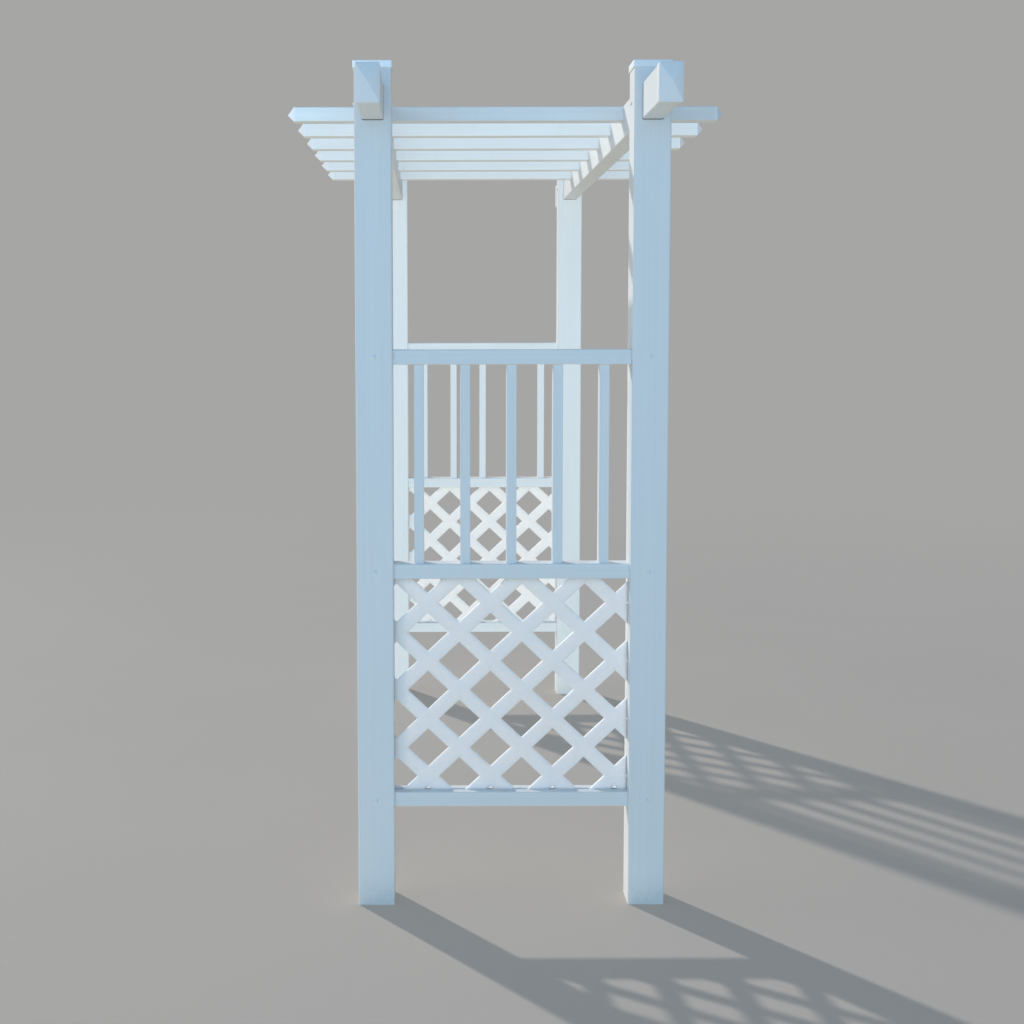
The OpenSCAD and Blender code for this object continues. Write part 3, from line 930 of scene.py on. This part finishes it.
class ARBOR_OT_screw_covers(bpy.types.Operator):
    """Models the domed covers over the screws"""
    bl_idname = "arbor.screw_covers"
    bl_label = "Screw covers"

    def execute(self, context):
        master = self.dome(context.scene.arbor_covers)
        material = moulded_vinyl(context.scene.arbor_finish)
        for node, places in (("rail_screw_covers", self.rail_places()),
                             ("beam_screw_covers", self.beam_places()),
                             ("rafter_screw_covers", self.rafter_places())):
            copies = [copy_to(master, place, Z.rotation_difference(outward).to_matrix().to_4x4())
                      for place, outward in places]
            activate(copies[0])
            for copy in copies:
                copy.select_set(True)
            bpy.ops.object.join()
            stand_for(bpy.context.object, node + "_domes", node, material)
        discard(master)
        return {"FINISHED"}

    def dome(self, sizes):
        """Slice of a sphere with a thin lip, given a wall."""
        rim = sizes.width / 2 - sizes.lip
        radius = (rim ** 2 + sizes.height ** 2) / (2 * sizes.height)
        start_clean()
        bpy.ops.mesh.primitive_uv_sphere_add(
            segments=sizes.sides, ring_count=sizes.sides, radius=radius,
            location=(0, 0, sizes.height - radius))
        dome = new_piece("cover_master")
        bpy.ops.object.mode_set(mode="EDIT")
        bpy.ops.mesh.select_all(action="SELECT")
        bpy.ops.mesh.bisect(plane_co=(0, 0, 0), plane_no=(0, 0, 1), clear_inner=True)
        pick("EDGE", lambda edge: edge.is_boundary)
        bpy.ops.mesh.extrude_region()
        bpy.ops.transform.resize(value=(1 + sizes.lip / rim, 1 + sizes.lip / rim, 1),
                                 center_override=(0, 0, 0))
        bpy.ops.object.mode_set(mode="OBJECT")
        apply_modifier(dome, "SOLIDIFY", thickness=sizes.wall, offset=-1)
        bpy.ops.object.shade_smooth_by_angle(angle=DOME_ANGLE)
        return dome

    def rail_places(self):
        for end, outward in (("front", -Y), ("rear", Y)):
            for side in SIDES:
                post = f"{end}_{side}_post"
                face = box_middle(post) + outward * box_size(post).y / 2
                for rail in RAILS:
                    yield Vector((face.x, face.y, box_middle(f"{end}_{rail}_rail").z)), outward

    def beam_places(self):
        for post in POSTS:
            beam = "left_beam" if "_left_" in post else "right_beam"
            for outward in (-X, X):
                face = box_middle(post) + outward * box_size(post).x / 2
                yield Vector((face.x, face.y, box_middle(beam).z)), outward

    def rafter_places(self):
        for rafter in RAFTERS:
            for beam in BEAMS:
                yield Vector((box_middle(beam).x, box_middle(rafter).y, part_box(rafter)[1].z)), Z


class ARBOR_OT_stage(bpy.types.Operator):
    """Lays the floor, and sets the lamps, the backdrop and the camera"""
    bl_idname = "arbor.stage"
    bl_label = "Stage"

    def execute(self, context):
        stage = context.scene.arbor_stage
        self.floor(stage)
        self.backdrop(context.scene, stage)
        self.lamps(stage)
        self.camera(context.scene, stage)
        context.scene.view_settings.view_transform = "Standard"
        return {"FINISHED"}

    def floor(self, stage):
        start_clean()
        bpy.ops.mesh.primitive_circle_add(vertices=FLOOR_CORNERS, radius=stage.floor_radius,
                                          fill_type="NGON")
        floor = new_piece("studio_floor")
        dress(floor, floor_paint(stage))

    def backdrop(self, scene, stage):
        """World that lights with the sky's colour and shows the backdrop's colour."""
        world = bpy.data.worlds.new("studio")
        world.use_nodes = True
        scene.world = world
        graph = Graph(world.node_tree)
        output = graph.add("ShaderNodeOutputWorld")
        light = graph.add("ShaderNodeBackground")
        light.inputs["Color"].default_value = opaque(stage.sky)
        light.inputs["Strength"].default_value = stage.sky_strength
        shown = graph.add("ShaderNodeBackground")
        shown.inputs["Color"].default_value = opaque(stage.backdrop)
        show_blend(graph, output, background_rays(graph), light, shown)

    def lamps(self, stage):
        """One key light for the arbor and the floor, and soft fills for the arbor alone."""
        pieces = [p for p in bpy.data.objects if p.type == "MESH" and p.name != "studio_floor"]
        near = [p for p in pieces if p.name.startswith(EAVES_PIECES)]
        inner = [p for p in pieces if p.name.startswith(INNER_PIECES) and p not in near]
        self.sun("key_light", stage.key_heading, stage.key_softness, stage.key_strength, stage.key_tint)
        fill = self.sun("inner_fill", stage.inner_heading, stage.inner_softness, stage.inner_strength,
                        stage.inner_tint)
        fill.data.use_shadow = False
        self.keep_to(fill, inner)
        self.panel_lamp("front_light", stage.front_place, stage.large_width, stage.front_strength,
                        stage.front_tint, pieces)
        self.panel_lamp("side_light", stage.side_place, stage.large_width, stage.side_strength,
                        stage.side_tint, pieces)
        self.panel_lamp("eaves_light", stage.eaves_place, stage.eaves_width, stage.eaves_strength,
                        stage.eaves_tint, near)

    def keep_to(self, lamp, pieces):
        """Lets the lamp light these pieces alone."""
        lit = bpy.data.collections.new(f"lit_by_{lamp.name}")
        for piece in pieces:
            lit.objects.link(piece)
        lamp.light_linking.receiver_collection = lit

    def lamp(self, kind, name, place, heading, strength, tint):
        """Lamp of one kind that stands at a place and shines along a heading."""
        start_clean()
        bpy.ops.object.light_add(type=kind, location=place)
        lamp = bpy.context.object
        lamp.name = name
        lamp.rotation_euler = heading.to_track_quat("-Z", "Y").to_euler()
        lamp.data.energy = strength
        lamp.data.color = tint
        return lamp

    def sun(self, name, heading, softness, strength, tint):
        """Even light that travels one way."""
        heading = Vector(heading)
        lamp = self.lamp("SUN", name, -heading, heading, strength, tint)
        lamp.data.angle = softness
        return lamp

    def panel_lamp(self, name, place, width, strength, tint, pieces):
        """Soft lamp that faces the arbor's middle, lights these pieces and isn't seen itself."""
        middle = Vector((0, 0, CAD_BOX[1][2] / 2))
        lamp = self.lamp("AREA", name, place, middle - Vector(place), strength, tint)
        lamp.data.shape = "RECTANGLE"
        lamp.data.size = width
        lamp.data.size_y = LAMP_SHAPE * width
        lamp.visible_camera = False
        self.keep_to(lamp, pieces)

    def camera(self, scene, stage):
        start_clean()
        bpy.ops.object.camera_add(location=stage.eye)
        camera = bpy.context.object
        camera.name = "photo_camera"
        turn = (Matrix.Rotation(-stage.yaw, 3, "Z") @ Matrix.Rotation(math.pi / 2 - stage.pitch, 3, "X")
                @ Matrix.Rotation(-stage.roll, 3, "Z"))
        camera.rotation_euler = turn.to_euler()
        camera.data.lens = stage.lens
        camera.data.sensor_width = SENSOR_WIDTH
        camera.data.shift_x, camera.data.shift_y = stage.shift
        scene.camera = camera


class ARBOR_PT_panel(bpy.types.Panel):
    """Lists the arbor's sizes and pieces"""
    bl_idname = "ARBOR_PT_panel"
    bl_label = "Garden arbor"
    bl_space_type = "VIEW_3D"
    bl_region_type = "UI"
    bl_category = "Arbor"

    def draw(self, context):
        for operator, setting in STEPS:
            box = self.layout.box()
            box.operator(operator.bl_idname)
            if setting:
                group = getattr(context.scene, setting)
                for name in group.__annotations__:
                    box.prop(group, name)


STEPS = (
    (ARBOR_OT_tubes, "arbor_finish"),
    (ARBOR_OT_post_caps, "arbor_caps"),
    (ARBOR_OT_beam_caps, None),
    (ARBOR_OT_rafter_caps, None),
    (ARBOR_OT_lattice, "arbor_lattice"),
    (ARBOR_OT_screws, None),
    (ARBOR_OT_screw_covers, "arbor_covers"),
    (ARBOR_OT_stage, "arbor_stage"),
)
SETTINGS = (
    ("arbor_caps", ArborCapSizes),
    ("arbor_lattice", ArborLatticeSizes),
    ("arbor_covers", ArborCoverSizes),
    ("arbor_finish", ArborFinish),
    ("arbor_stage", ArborStage),
)


def register():
    for name, group in SETTINGS:
        bpy.utils.register_class(group)
        setattr(bpy.types.Scene, name, PointerProperty(type=group))
    for operator, _ in STEPS:
        bpy.utils.register_class(operator)
    bpy.utils.register_class(ARBOR_PT_panel)


def unregister():
    bpy.utils.unregister_class(ARBOR_PT_panel)
    for operator, _ in reversed(STEPS):
        bpy.utils.unregister_class(operator)
    for name, group in reversed(SETTINGS):
        delattr(bpy.types.Scene, name)
        bpy.utils.unregister_class(group)


def main():
    register()
    bpy.ops.arbor.tubes()
    bpy.ops.arbor.post_caps()
    bpy.ops.arbor.beam_caps()
    bpy.ops.arbor.rafter_caps()
    bpy.ops.arbor.lattice()
    bpy.ops.arbor.screws()
    bpy.ops.arbor.screw_covers()
    bpy.ops.arbor.stage()


if __name__ == "__main__":
    main()
